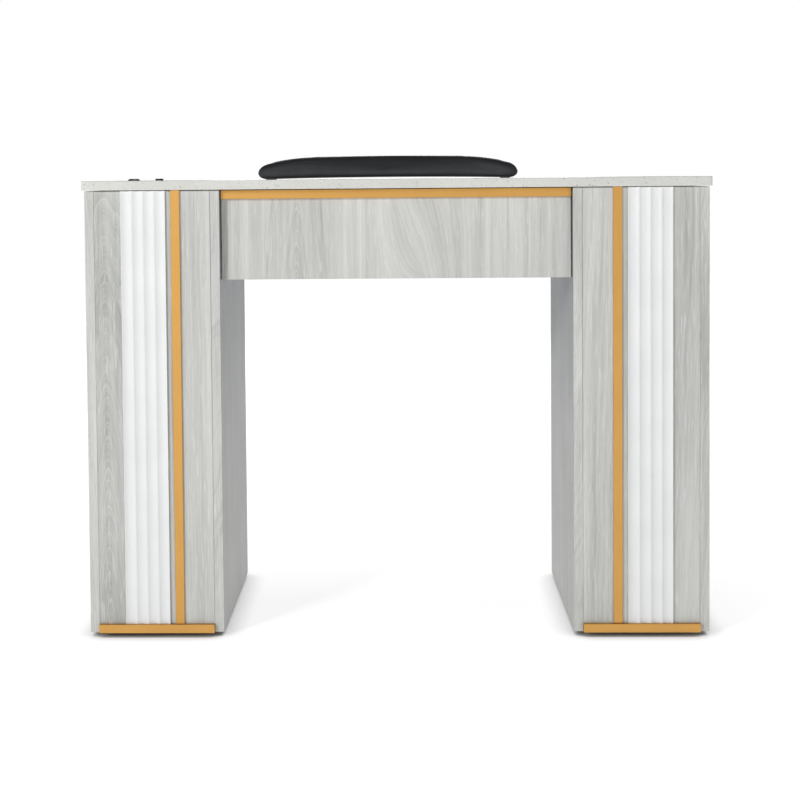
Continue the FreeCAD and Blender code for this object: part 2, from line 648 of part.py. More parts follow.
def armrest_cushion():
    """The padded body's outer shape, with its base board's pocket."""
    half = REST_LENGTH / 2
    under = REST_BASE_LENGTH / 2
    tops = [rest_point(-x, z) for x, z in reversed(REST_HEIGHTS[1:])]
    tops += [rest_point(x, z) for x, z in REST_HEIGHTS]
    crown = Part.BSplineCurve()
    crown.interpolate(tops)
    ends = []
    for sign in (-1, 1):
        top = rest_point(sign * REST_HEIGHTS[-1][0], REST_HEIGHTS[-1][1])
        nose = rest_point(sign * half, REST_NOSE)
        ends.append(Part.Arc(top, nose, rest_point(sign * under, REST_FOOT)).toShape())
    edges = [crown.toShape(), *ends, rest_arch(under, REST_FOOT).toShape()]
    outline = Part.Face(Part.Wire(Part.__sortEdges__(edges)))
    body = outline.extrude(Vector(0, REST_DEPTH, 0))
    rims = [e for e in body.Edges if e.BoundBox.YLength < 1 and e.BoundBox.ZMin > SLAB_TOP + 20]
    body = body.makeFillet(10, rims)
    x = (REST_X - half - 1, REST_X + half + 1)
    y = (REST_Y - REST_DEPTH / 2, REST_Y + REST_DEPTH / 2)
    plan = block(x, y, (SLAB_TOP, SLAB_TOP + 60))
    corners = [e for e in plan.Edges if e.BoundBox.ZLength > 50]
    return body.common(plan.makeFillet(REST_CORNER_RADIUS, corners)).cut(armrest_base())


def armrest_feet():
    """Four rubber discs under the base board, each trimmed to the board's arch."""
    solids = []
    for sx in (-1, 1):
        for sy in (-1, 1):
            spot = Vector(REST_X + sx * 204, REST_Y + sy * 38, SLAB_TOP)
            foot = rod(spot, Vector(0, 0, 1), 6, REST_FOOT + 1)
            solids.append(foot.cut(armrest_base()).Solids[0])
    return group(solids)


# ---- everything -----------------------------------------------------------------------------
def main():
    os.makedirs("parts", exist_ok=True)
    save("tabletop", tabletop())
    save("slab_bumpers", slab_bumpers())
    for side, hand in ((-1, "left"), (1, "right")):
        for name in ("outer_side", "inner_side"):
            save(hand + "_" + name, side_panel(side, hand, name))
        for name in ("top_panel", "bottom_panel"):
            save(hand + "_" + name, level_panel(side, hand, name))
        save(hand + "_front_panel", front_panel(side, hand))
        save(hand + "_fluted_strip", fluted_strip(side))
        save(hand + "_gold_strip", gold_strip(side))
        save(hand + "_gold_base_bar", gold_base_bar(side))
    save("apron_panel", apron_panel())
    save("apron_gold_rail", apron_gold_rail())
    save("sub_top_panel", sub_top_panel())
    save("cam_locks", cam_locks())
    save("dowels", dowels())
    save("floor_glides", floor_glides())
    save("lamp_bushing", lamp_bushing())
    save("lamp_bushing_nut", lamp_bushing_nut())
    save("cable_plug", cable_plug())
    cabinet_rails = []
    for name, (opening, front_x, front_z, box_z) in drawer_layout().items():
        centre = Vector(middle(front_x), 0, middle(box_z) + 8)
        cabinet, mid, drawer = rails(opening, box_z)
        cabinet_rails += cabinet
        save(name + "_mid_rails", group(mid))
        save(name + "_drawer_rails", group(drawer))
        save(name + "_drawer_front", drawer_front(front_x, front_z, centre))
        save(name + "_drawer_box", drawer_box(opening, box_z, centre))
        save(name + "_drawer_pull", pull(centre, Vector(1, 0, 0), FACE_INNER - BOX_BOARD))
    save("cabinet_rails", group(cabinet_rails))
    save("door_panel", door_panel())
    save("door_pull", pull(DOOR_PULL, Vector(0, 0, 1), FACE_INNER))
    save("hinge_cabinet_leaves", hinge_cabinet_leaves())
    save("hinge_door_leaves", hinge_door_leaves())
    save("hinge_pins", hinge_pins())
    save("magnetic_catch", magnetic_catch())
    save("catch_plate", catch_plate())
    save("cabinet_shelves", cabinet_shelves())
    save("shelf_pins", shelf_pins())
    save("armrest_cushion", armrest_cushion())
    save("armrest_base", armrest_base())
    save("armrest_feet", armrest_feet())


main()
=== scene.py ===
"""Looks of the manicure table: materials for every board, metal and plastic part, a simulated vinyl
armrest and a plain pale studio. Metres, +Z up, client's side towards -Y."""
import math

import bmesh
import bpy
from mathutils import Matrix, Vector


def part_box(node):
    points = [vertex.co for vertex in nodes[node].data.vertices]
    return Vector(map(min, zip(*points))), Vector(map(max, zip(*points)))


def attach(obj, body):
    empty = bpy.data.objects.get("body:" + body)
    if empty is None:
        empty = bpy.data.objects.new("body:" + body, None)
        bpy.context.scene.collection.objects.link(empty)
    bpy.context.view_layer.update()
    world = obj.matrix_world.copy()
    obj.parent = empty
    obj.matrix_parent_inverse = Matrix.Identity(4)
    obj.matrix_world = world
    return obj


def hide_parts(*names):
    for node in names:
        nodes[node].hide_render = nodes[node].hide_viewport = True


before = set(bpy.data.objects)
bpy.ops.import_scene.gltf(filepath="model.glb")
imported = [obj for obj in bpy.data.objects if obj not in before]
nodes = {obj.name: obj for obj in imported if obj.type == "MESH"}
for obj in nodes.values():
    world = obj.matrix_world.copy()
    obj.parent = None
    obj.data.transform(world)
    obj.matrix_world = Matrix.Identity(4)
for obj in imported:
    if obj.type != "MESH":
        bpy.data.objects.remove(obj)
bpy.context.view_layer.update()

MM = 0.001
SLAB_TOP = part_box("tabletop")[1].z


# ---- node tree helpers ----------------------------------------------------------------------
def feed(tree, socket, value):
    if isinstance(value, bpy.types.NodeSocket):
        tree.links.new(value, socket)
    else:
        socket.default_value = value


def node(tree, kind, inputs=None, **settings):
    made = tree.nodes.new("ShaderNode" + kind)
    for key, value in settings.items():
        setattr(made, key, value)
    for key, value in (inputs or {}).items():
        feed(tree, made.inputs[key], value)
    return made


def calc(tree, operation, a, b=0.0):
    return node(tree, "Math", {0: a, 1: b}, operation=operation).outputs[0]


def vcalc(tree, operation, a, b):
    return node(tree, "VectorMath", {0: a, 1: b}, operation=operation).outputs[0]


def scaled(tree, vector, factor):
    return node(tree, "VectorMath", {0: vector, "Scale": factor}, operation="SCALE").outputs[0]


def component(tree, vector, axis):
    return node(tree, "SeparateXYZ", {0: vector}).outputs[axis]


def blended(tree, a, b, share):
    """That share of a, and the rest of b."""
    return calc(tree, "ADD", calc(tree, "MULTIPLY", a, share), calc(tree, "MULTIPLY", b, 1 - share))


def ramp(tree, fac, stops, smooth=False):
    made = node(tree, "ValToRGB", {0: fac})
    made.color_ramp.interpolation = "B_SPLINE" if smooth else "LINEAR"
    elements = made.color_ramp.elements
    while len(elements) < len(stops):
        elements.new(0.5)
    for element, (place, colour) in zip(elements, stops):
        element.position = place
        element.color = (*colour, 1) if isinstance(colour, tuple) else (colour, colour, colour, 1)
    return made.outputs[0]


def noise(tree, vector, scale, detail, rough=0.5):
    inputs = {"Vector": vector, "Scale": scale, "Detail": detail, "Roughness": rough}
    return node(tree, "TexNoise", inputs).outputs["Fac"]


def stretched(tree, vector, across, along):
    """vector scaled so that a texture runs in streaks along its Z."""
    return vcalc(tree, "MULTIPLY", vector, (across, across, along))


def mix(tree, fac, a, b, blend="MIX"):
    made = node(tree, "Mix", data_type="RGBA", blend_type=blend)
    feed(tree, made.inputs[0], fac)
    for socket, value in ((made.inputs[6], a), (made.inputs[7], b)):
        feed(tree, socket, (*value, 1) if isinstance(value, tuple) else value)
    return made.outputs[2]


def bump(tree, bsdf, height, distance, strength):
    made = node(tree, "Bump", {"Height": height, "Distance": distance, "Strength": strength})
    tree.links.new(made.outputs[0], bsdf.inputs["Normal"])


def shader(name, **sockets):
    """A new material, its tree, its Principled node and the row-frame position."""
    material = bpy.data.materials.new(name)
    material.use_nodes = True
    tree = material.node_tree
    bsdf = tree.nodes["Principled BSDF"]
    for key, value in sockets.items():
        bsdf.inputs[key.replace("_", " ")].default_value = value
    place = node(tree, "TexCoord").outputs["Object"]
    return material, tree, bsdf, place


def swizzle(tree, vector, along):
    """vector turned so that its Z is the row frame's axis named by along."""
    if along == "z":
        return vector
    x, y, z = node(tree, "SeparateXYZ", {0: vector}).outputs
    order = (y, z, x) if along == "x" else (z, x, y)
    return node(tree, "CombineXYZ", dict(enumerate(order))).outputs[0]


# ---- wood laminate --------------------------------------------------------------------------
# texture scales across and along the grain, per metre, and how far each moves the rings
WANDER = (5.5, 1.7)
RIPPLE, RIPPLE_MOVE = (26.0, 7.0), 0.007
JITTER, JITTER_MOVE = (120.0, 48.0), 0.0012
BLOTCH, STREAK, FIBRE = (9.0, 1.6), (120.0, 3.0), (700.0, 18.0)
DASHES, PORES = (480.0, 24.0), (1500.0, 60.0)
# the rings at three sizes: how many a metre, detail and roughness
BANDS, LINES, HAIRS = (48.0, 3.0, 0.6), (310.0, 3.0, 0.65), (1050.0, 2.0, 0.6)
# distances from a line at which an effect starts to fade and is gone, in decimetres
BEND_FADE, TAPER_FADE, HEARTWOOD_FADE = (0.0, 0.62), (0.30, 0.75), (0.14, 0.60)
HEARTWOOD_DARKER = 0.24
GREY_ASH = ((0.10, (0.320, 0.322, 0.304)), (0.38, (0.425, 0.428, 0.404)),
            (0.60, (0.50, 0.503, 0.476)), (0.92, (0.595, 0.598, 0.570)))
# pale limed pores, grey filled pores, then the bluish grey of the painted shade on the knee space's faces;
# below, how much of that painted shade at each height
LIMED, PORE_GREY, KNEE_PAINTED_SHADE_COLOUR = (0.60, 0.60, 0.59), (0.33, 0.33, 0.32), (0.130, 0.137, 0.148)
KNEE_PAINTED_SHADE_RAMP = ((0.05, 0.28), (0.35, 0.48), (0.60, 1.0))


def fade(tree, distance, limits):
    """1 at a line, 0 beyond the second limit."""
    decimetres = calc(tree, "MULTIPLY", distance, 10.0)
    return ramp(tree, decimetres, ((limits[0], 1.0), (limits[1], 0.0)), smooth=True)


def stray(tree, place, scales):
    """A random offset, from -0.5 to 0.5 on each axis."""
    inputs = {"Vector": stretched(tree, place, *scales), "Scale": 1.0, "Detail": 2.0}
    return vcalc(tree, "SUBTRACT", node(tree, "TexNoise", inputs).outputs["Color"], (0.5, 0.5, 0.5))


def bent_place(tree, given, level):
    """The position, sheared along the grain on both sides of a line. Bend holds where that line is
    across the board, how steep the grain is there, and the level that it bends from."""
    bend = node(tree, "SeparateXYZ", {0: given["Bend"]}).outputs
    away = calc(tree, "ABSOLUTE", calc(tree, "SUBTRACT", component(tree, given["Place"], 0), bend[0]))
    drift = calc(tree, "MULTIPLY", calc(tree, "SUBTRACT", level, bend[2]), bend[1])
    drift = calc(tree, "MULTIPLY", drift, fade(tree, away, BEND_FADE))
    return vcalc(tree, "ADD", given["Place"], node(tree, "CombineXYZ", {0: drift}).outputs[0])


def ring_places(tree, given, place, shifted):
    """Distance from the heart line, which leans and wanders, and the ring found there."""
    ripple = vcalc(tree, "ADD", scaled(tree, stray(tree, shifted, RIPPLE), RIPPLE_MOVE),
                   scaled(tree, stray(tree, shifted, JITTER), JITTER_MOVE))
    swirl = scaled(tree, stray(tree, shifted, WANDER), given["Swirl"])
    from_heart = vcalc(tree, "SUBTRACT", place, given["Heart"])
    rise = component(tree, from_heart, 2)
    local = vcalc(tree, "SUBTRACT", from_heart, scaled(tree, given["Lean"], rise))
    local = vcalc(tree, "ADD", vcalc(tree, "ADD", local, swirl), ripple)
    local = vcalc(tree, "MULTIPLY", local, (1, 1, 0))
    radius = node(tree, "VectorMath", {0: local}, operation="LENGTH").outputs["Value"]
    # near its heart the trunk tapers, so the rings run into narrow arches
    tapered = calc(tree, "MULTIPLY", rise, given["Taper"])
    tapered = calc(tree, "MULTIPLY", tapered, fade(tree, radius, TAPER_FADE))
    return radius, calc(tree, "ADD", calc(tree, "ADD", radius, tapered), given["Seed"])


def wood_group():
    """Grey ash figure: rings round a leaning heart line, cut by the board's faces."""
    tree = bpy.data.node_groups.new("grey_ash", "ShaderNodeTree")
    sockets = (("Place", "Vector"), ("Heart", "Vector"), ("Lean", "Vector"), ("Swirl", "Float"),
               ("Taper", "Float"), ("Seed", "Float"), ("Tone", "Float"), ("PaintedShade", "Float"),
               ("Bend", "Vector"))
    for name, kind in sockets:
        tree.interface.new_socket(name, in_out="INPUT", socket_type="NodeSocket" + kind)
    for name, kind in (("Colour", "Color"), ("Roughness", "Float"), ("Height", "Float")):
        tree.interface.new_socket(name, in_out="OUTPUT", socket_type="NodeSocket" + kind)
    given = tree.nodes.new("NodeGroupInput").outputs
    result = tree.nodes.new("NodeGroupOutput").inputs

    level = component(tree, given["Place"], 2)
    place = bent_place(tree, given, level)
    seed = given["Seed"]
    offset = node(tree, "CombineXYZ", {0: seed, 1: seed, 2: seed}).outputs[0]
    shifted = vcalc(tree, "ADD", place, offset)
    radius, ring = ring_places(tree, given, place, shifted)

    def rings(scale, detail, rough):
        inputs = {"W": ring, "Scale": scale, "Detail": detail, "Roughness": rough}
        return node(tree, "TexNoise", inputs, noise_dimensions="1D").outputs["Fac"]

    def grain(scales, detail, rough=0.5):
        return noise(tree, stretched(tree, shifted, *scales), 1.0, detail, rough)

    bands, lines, hairs = rings(*BANDS), rings(*LINES), rings(*HAIRS)
    blotch, streak, fibre = grain(BLOTCH, 2.0), grain(STREAK, 4.0, 0.68), grain(FIBRE, 2.0, 0.6)
    heartwood = fade(tree, radius, HEARTWOOD_FADE)
    shares = ((bands, 0.66), (lines, 0.34), (hairs, 0.34), (blotch, 0.45), (streak, 0.75), (fibre, 0.35))
    tone = calc(tree, "ADD", given["Tone"], 0.5)
    tone = calc(tree, "SUBTRACT", tone, calc(tree, "MULTIPLY", heartwood, HEARTWOOD_DARKER))
    for texture, share in shares:
        swing = calc(tree, "SUBTRACT", texture, 0.5)
        tone = calc(tree, "ADD", tone, calc(tree, "MULTIPLY", swing, share))
    colour = ramp(tree, tone, GREY_ASH)

    # limed pores: pale dashes, and paler lines along some rings of the heartwood
    dashes = ramp(tree, grain(DASHES, 1.0), ((0.60, 0.0), (0.70, 1.0)))
    limed = ramp(tree, hairs, ((0.56, 0.0), (0.68, 1.0)))
    limed = calc(tree, "MULTIPLY", limed, calc(tree, "MULTIPLY", heartwood, 0.62))
    pale = calc(tree, "MULTIPLY", calc(tree, "MAXIMUM", dashes, limed), 0.50)
    colour = mix(tree, pale, colour, LIMED)
    pores = ramp(tree, grain(PORES, 1.0), ((0.60, 0.0), (0.72, 1.0)))
    colour = mix(tree, calc(tree, "MULTIPLY", pores, 0.25), colour, PORE_GREY)

    # painted shade: the broad faces round the knee space are painted greyer towards their tops, where the
    # apron's shadow falls; their edges aren't
    facing = component(tree, node(tree, "TexCoord").outputs["Normal"], 0)
    painted_shade = calc(tree, "MULTIPLY", ramp(tree, level, KNEE_PAINTED_SHADE_RAMP), calc(tree, "ABSOLUTE", facing))
    colour = mix(tree, calc(tree, "MULTIPLY", painted_shade, given["PaintedShade"]), colour, KNEE_PAINTED_SHADE_COLOUR)
    feed(tree, result["Colour"], colour)

    smear = noise(tree, place, 7.0, 3.0)
    rough = calc(tree, "ADD", 0.36, calc(tree, "MULTIPLY", fibre, 0.12))
    feed(tree, result["Roughness"], calc(tree, "ADD", rough, calc(tree, "MULTIPLY", smear, 0.16)))
    height = calc(tree, "MULTIPLY", lines, 0.35)
    height = calc(tree, "ADD", height, calc(tree, "MULTIPLY", fibre, 0.25))
    feed(tree, result["Height"], calc(tree, "SUBTRACT", height, pores))
    return tree


WOOD = wood_group()


def wood(name, heart, lean=(0.0, 0.0), swirl=0.03, tone=0.0, along="z", taper=0.0, painted_shade_strength=0.0,
         bend=(0.0, 0.0, 0.0)):
    """One board's laminate. heart is a point on the heart line, in axes turned so that Z runs along
    the grain."""
    material, tree, bsdf, place = shader(name + "_laminate")
    seed = (sum(map(ord, name)) % 97) / 7.0
    inputs = {
        "Place": swizzle(tree, place, along), "Heart": heart, "Lean": (*lean, 0.0),
        "Swirl": swirl, "Taper": taper, "Seed": seed, "Tone": tone, "PaintedShade": painted_shade_strength, "Bend": bend,
    }
    group = node(tree, "Group", node_tree=WOOD)
    for key, value in inputs.items():
        feed(tree, group.inputs[key], value)
    tree.links.new(group.outputs["Colour"], bsdf.inputs["Base Color"])
    tree.links.new(group.outputs["Roughness"], bsdf.inputs["Roughness"])
    bump(tree, bsdf, group.outputs["Height"], 0.00018, 0.6)
    return material


# ---- other materials ------------------------------------------------------------------------
# cells a metre, the share of cells without a chip, the chip's size in its cell, colour and strength
QUARTZ_CHIPS = (
    (190.0, 0.90, 0.36, (0.30, 0.29, 0.27), 0.70),
    (420.0, 0.86, 0.40, (0.26, 0.25, 0.24), 0.60),
    (330.0, 0.93, 0.38, (0.72, 0.72, 0.70), 0.30),
    (110.0, 0.91, 0.30, (0.38, 0.36, 0.32), 0.55),
)


def quartz():
    """Off-white engineered stone: soft clouds, fine grain and scattered chips."""
    material, tree, bsdf, place = shader("quartz")
    clouds = noise(tree, place, 7.0, 4.0, 0.6)
    colour = ramp(tree, clouds, ((0.15, (0.520, 0.521, 0.485)), (0.85, (0.628, 0.628, 0.592))))
    grain = noise(tree, place, 620.0, 2.0)
    colour = mix(tree, 0.35, colour, ramp(tree, grain, ((0.3, 0.78), (0.7, 1.0))), "MULTIPLY")
    for scale, rarity, size, chip, strength in QUARTZ_CHIPS:
        wobble = noise(tree, place, scale * 2.5, 2.0)
        cells = node(tree, "TexVoronoi", {"Vector": place, "Scale": scale})
        chosen = calc(tree, "GREATER_THAN", component(tree, cells.outputs["Color"], 0), rarity)
        reach = calc(tree, "ADD", cells.outputs["Distance"], calc(tree, "MULTIPLY", wobble, 0.25))
        inside = ramp(tree, reach, ((size, 1.0), (size + 0.08, 0.0)))
        amount = calc(tree, "MULTIPLY", calc(tree, "MULTIPLY", chosen, inside), strength)
        colour = mix(tree, amount, colour, chip)
    tree.links.new(colour, bsdf.inputs["Base Color"])
    smudge = noise(tree, place, 6.0, 2.0)
    tree.links.new(ramp(tree, smudge, ((0.15, 0.29), (0.85, 0.34))), bsdf.inputs["Roughness"])
    bump(tree, bsdf, noise(tree, place, 260.0, 3.0), 0.00003, 0.5)
    return material


def metal(name, light, dark, along, rough, grain):
    """Rolled or brushed metal with its brushing along one axis."""
    material, tree, bsdf, place = shader(name, Metallic=1.0)
    turned = swizzle(tree, place, along)
    brushed = noise(tree, stretched(tree, turned, *grain), 1.0, 3.0, 0.65)
    cloud = noise(tree, place, 16.0, 3.0)
    both = blended(tree, brushed, cloud, 0.6)
    tree.links.new(ramp(tree, both, ((0.3, dark), (0.7, light))), bsdf.inputs["Base Color"])
    tree.links.new(ramp(tree, both, ((0.3, rough[1]), (0.7, rough[0]))), bsdf.inputs["Roughness"])
    bump(tree, bsdf, brushed, 0.00003, 0.5)
    return material


def gold(name, along):
    light, dark = (0.632, 0.348, 0.098), (0.563, 0.309, 0.088)
    return metal(name, light, dark, along, rough=(0.36, 0.50), grain=(900.0, 14.0))


def zinc(name):
    """Bright zinc plate with a faint spangle."""
    material, tree, bsdf, place = shader(name, Metallic=1.0)
    cells = node(tree, "TexVoronoi", {"Vector": place, "Scale": 260.0}).outputs["Color"]
    fine = noise(tree, place, 900.0, 2.0)
    both = blended(tree, component(tree, cells, 1), fine, 0.5)
    stops = ((0.2, (0.50, 0.51, 0.52)), (0.8, (0.66, 0.665, 0.67)))
    tree.links.new(ramp(tree, both, stops), bsdf.inputs["Base Color"])
    tree.links.new(ramp(tree, both, ((0.2, 0.42), (0.8, 0.28))), bsdf.inputs["Roughness"])
    bump(tree, bsdf, fine, 0.00004, 0.4)
    return material


def moulded(name, dark, light, rough, texture=900.0, depth=0.00004):
    """Moulded plastic, rubber or a foil skin: a fine texture over soft tone changes."""
    material, tree, bsdf, place = shader(name)
    cloud = noise(tree, place, 14.0, 3.0)
    tree.links.new(ramp(tree, cloud, ((0.3, dark), (0.7, light))), bsdf.inputs["Base Color"])
    fine = noise(tree, place, texture, 2.0, 0.6)
    both = blended(tree, cloud, fine, 0.5)
    tree.links.new(ramp(tree, both, ((0.3, rough[0]), (0.7, rough[1]))), bsdf.inputs["Roughness"])
    bump(tree, bsdf, fine, depth, 0.6)
    return material


def plain_wood(name, dark, light, along):
    """Bare or stained timber with straight fibres."""
    material, tree, bsdf, place = shader(name)
    turned = swizzle(tree, place, along)
    fibre = noise(tree, stretched(tree, turned, 420.0, 12.0), 1.0, 4.0, 0.6)
    bands = noise(tree, stretched(tree, turned, 60.0, 2.0), 1.0, 2.0)
    both = blended(tree, fibre, bands, 0.6)
    tree.links.new(ramp(tree, both, ((0.3, dark), (0.7, light))), bsdf.inputs["Base Color"])
    tree.links.new(ramp(tree, both, ((0.2, 0.65), (0.8, 0.45))), bsdf.inputs["Roughness"])
    bump(tree, bsdf, fibre, 0.00008, 0.5)
    return material


# the vinyl's colour on its sides, then the darker colour of the painted shade on its crown
VINYL_SIDES = ((0.3, (0.052, 0.054, 0.0575)), (0.75, (0.068, 0.070, 0.074)))
VINYL_CROWN_PAINTED_SHADE = (0.0105, 0.0108, 0.0116)
PEBBLE_WARP, PEBBLE_DEPTH, FINE_DEPTH, CREASE_DEPTH = 0.0009, 0.00016, 0.00003, 0.0011


def vinyl():
    """Upholstery vinyl: pebble grain, shallow creases, a soft worn sheen, and painted shade on its upward
    faces and in its pebbles' hollows.
    """
    material, tree, bsdf, place = shader("black_vinyl", IOR=1.14)
    warped = node(tree, "TexNoise", {"Vector": place, "Scale": 420.0, "Detail": 2.0}).outputs["Color"]
    grain_at = vcalc(tree, "ADD", place, scaled(tree, warped, PEBBLE_WARP))
    inputs = {"Vector": grain_at, "Scale": 760.0, "Smoothness": 0.35}
    pebbles = node(tree, "TexVoronoi", inputs, feature="SMOOTH_F1").outputs["Distance"]
    fine = noise(tree, place, 2600.0, 2.0)
    creases = noise(tree, vcalc(tree, "MULTIPLY", place, (26.0, 60.0, 60.0)), 1.0, 4.0, 0.6)
    wear = noise(tree, place, 19.0, 3.0)
    colour = ramp(tree, wear, VINYL_SIDES)
    # painted shade: the hollows between the pebbles are painted darker
    hollow_painted_shade = ramp(tree, pebbles, ((0.30, 1.0), (0.75, 0.62)))
    colour = mix(tree, 0.8, colour, hollow_painted_shade, "MULTIPLY")
    # painted shade: faces that look up are painted darker than the sides, more than the lights alone make
    # them
    facing = component(tree, node(tree, "TexCoord").outputs["Normal"], 2)
    crown = ramp(tree, facing, ((0.05, 0.0), (0.75, 1.0)), smooth=True)
    tree.links.new(mix(tree, crown, colour, VINYL_CROWN_PAINTED_SHADE), bsdf.inputs["Base Color"])
    both = blended(tree, wear, fine, 0.6)
    tree.links.new(ramp(tree, both, ((0.3, 0.50), (0.7, 0.62))), bsdf.inputs["Roughness"])
    height = calc(tree, "MULTIPLY", pebbles, -PEBBLE_DEPTH)
    height = calc(tree, "ADD", height, calc(tree, "MULTIPLY", fine, FINE_DEPTH))
    height = calc(tree, "ADD", height, calc(tree, "MULTIPLY", creases, CREASE_DEPTH))
    bump(tree, bsdf, height, 1.0, 0.75)
    return material


def melamine(name):
    """Pale grey board for the drawer boxes, with a faint embossed texture and scuffs."""
    material, tree, bsdf, place = shader(name)
    cloud = noise(tree, place, 8.0, 3.0)
    colour = ramp(tree, cloud, ((0.3, (0.42, 0.42, 0.41)), (0.7, (0.47, 0.47, 0.46))))
    scuff = noise(tree, vcalc(tree, "MULTIPLY", place, (30.0, 240.0, 260.0)), 1.0, 4.0, 0.7)
    marks = ramp(tree, scuff, ((0.66, 0.0), (0.78, 0.35)))
    colour = mix(tree, marks, colour, (0.33, 0.325, 0.315))
    tree.links.new(colour, bsdf.inputs["Base Color"])
    emboss = noise(tree, place, 700.0, 3.0, 0.6)
    tree.links.new(ramp(tree, emboss, ((0.3, 0.50), (0.7, 0.38))), bsdf.inputs["Roughness"])
    bump(tree, bsdf, emboss, 0.00006, 0.6)
    return material


# ---- which node gets what -------------------------------------------------------------------
def dress(name, material):
    for slot in nodes[name].material_slots:
        slot.material = material


DRAWER_HEART = dict(heart=(-0.41, 0.222, 0.45), lean=(0.02, -0.09), swirl=0.05)
# Every board's figure. heart is a point on its heart line, lean that line's slope, swirl how far it
# wanders, taper how fast its rings close upwards, tone how much lighter the board is, shade the strength
# of the painted shade that greys it towards its top, bend where and how steeply its grain slants. along
# names the grain's axis.
BOARDS = {
    "left_outer_side": dict(heart=(-0.60, -0.05, 0.4), lean=(0.02, 0.05), swirl=0.03, tone=0.02),
    "left_inner_side": dict(heart=(-0.42, 0.32, 0.5), lean=(0.06, -0.04), swirl=0.04, painted_shade_strength=0.85),
    "left_front_panel": dict(heart=(-0.496, -0.2115, 0.05), lean=(0.0, 0.012), swirl=0.010, taper=0.10,
                             tone=0.01),
    "right_outer_side": dict(heart=(0.61, 0.06, 0.3), lean=(-0.02, 0.05), swirl=0.03, tone=-0.02),
    "right_inner_side": dict(heart=(0.43, 0.35, 0.2), lean=(0.05, 0.04), swirl=0.04, tone=-0.02, painted_shade_strength=1.0),
    "right_front_panel": dict(heart=(0.66, 0.05, 0.30), lean=(0.01, 0.03), swirl=0.022, tone=-0.04),
    "apron_panel": dict(heart=(-0.170, -0.196, 0.72), lean=(0.01, 0.01), swirl=0.012, taper=0.13,
                        tone=0.065, bend=(0.045, 0.46, 0.75)),
    "door_panel": dict(heart=(0.44, 0.215, 0.45), lean=(0.02, 0.10), swirl=0.05, tone=0.02),
    "left_top_drawer_front": dict(tone=0.02, **DRAWER_HEART),
    "left_middle_drawer_front": dict(tone=0.0, **DRAWER_HEART),
    "left_bottom_drawer_front": dict(tone=0.01, **DRAWER_HEART),
    "centre_drawer_front": dict(heart=(0.10, 0.222, 0.70), lean=(-0.05, 0.20), swirl=0.09, tone=0.04),
    "left_top_panel": dict(heart=(0.0, 0.70, -0.4), along="y"),
    "left_bottom_panel": dict(heart=(0.0, 0.10, -0.4), along="y"),
    "right_top_panel": dict(heart=(0.0, 0.70, 0.4), along="y"),
    "right_bottom_panel": dict(heart=(0.0, 0.10, 0.4), along="y"),
    "sub_top_panel": dict(heart=(0.0, 0.70, 0.0), along="x"),
    "cabinet_shelves": dict(heart=(0.0, 0.30, 0.4), tone=0.03, along="y"),
}
for board_name, figure in BOARDS.items():
    dress(board_name, wood(board_name, **figure))

dress("tabletop", quartz())
gold_up, gold_across = gold("gold_upright", "z"), gold("gold_across", "x")
white = moulded("white_foil", (0.668, 0.676, 0.672), (0.700, 0.704, 0.700), (0.30, 0.44), 700.0, 0.00003)
for hand in ("left", "right"):
    dress(hand + "_gold_strip", gold_up)
    dress(hand + "_gold_base_bar", gold_across)
    dress(hand + "_fluted_strip", white)
dress("apron_gold_rail", gold_across)
dress("door_pull", gold_up)

black_plastic = moulded("black_nylon", (0.012, 0.012, 0.012), (0.022, 0.022, 0.022), (0.34, 0.50), 1300.0)
black_rubber = moulded("black_rubber", (0.014, 0.014, 0.014), (0.026, 0.026, 0.025), (0.62, 0.82), 800.0,
                      0.00008)
for name in ("floor_glides", "lamp_bushing", "lamp_bushing_nut"):
    dress(name, black_plastic)
for name in ("cable_plug", "armrest_feet"):
    dress(name, black_rubber)
dress("slab_bumpers", moulded("clear_silicone", (0.14, 0.14, 0.13), (0.20, 0.20, 0.19), (0.25, 0.4)))
dress("magnetic_catch", moulded("white_plastic", (0.60, 0.60, 0.58), (0.66, 0.66, 0.64), (0.35, 0.5)))
dress("armrest_base", plain_wood("black_stained_board", (0.012, 0.011, 0.010), (0.030, 0.028, 0.025), "x"))
dress("dowels", plain_wood("beech", (0.42, 0.27, 0.15), (0.58, 0.40, 0.25), "x"))
plated = zinc("zinc_plate")
for name in ("cam_locks", "hinge_cabinet_leaves", "hinge_door_leaves", "hinge_pins", "shelf_pins",
             "catch_plate"):
    dress(name, plated)
rail_steel = metal("slide_steel", (0.60, 0.61, 0.62), (0.46, 0.47, 0.48), "y", (0.30, 0.42), (700.0, 5.0))
box_board = melamine("drawer_melamine")
dress("cabinet_rails", rail_steel)
for drawer in ("left_top", "left_middle", "left_bottom", "centre"):
    dress(drawer + "_mid_rails", rail_steel)
    dress(drawer + "_drawer_rails", rail_steel)
    dress(drawer + "_drawer_box", box_board)
    dress(drawer + "_drawer_pull", gold_across)


# ---- armrest --------------------------------------------------------------------------------
PAD_HALF, PAD_DEPTH, PAD_CORNER = 224.25 * MM, 60 * MM, 22 * MM
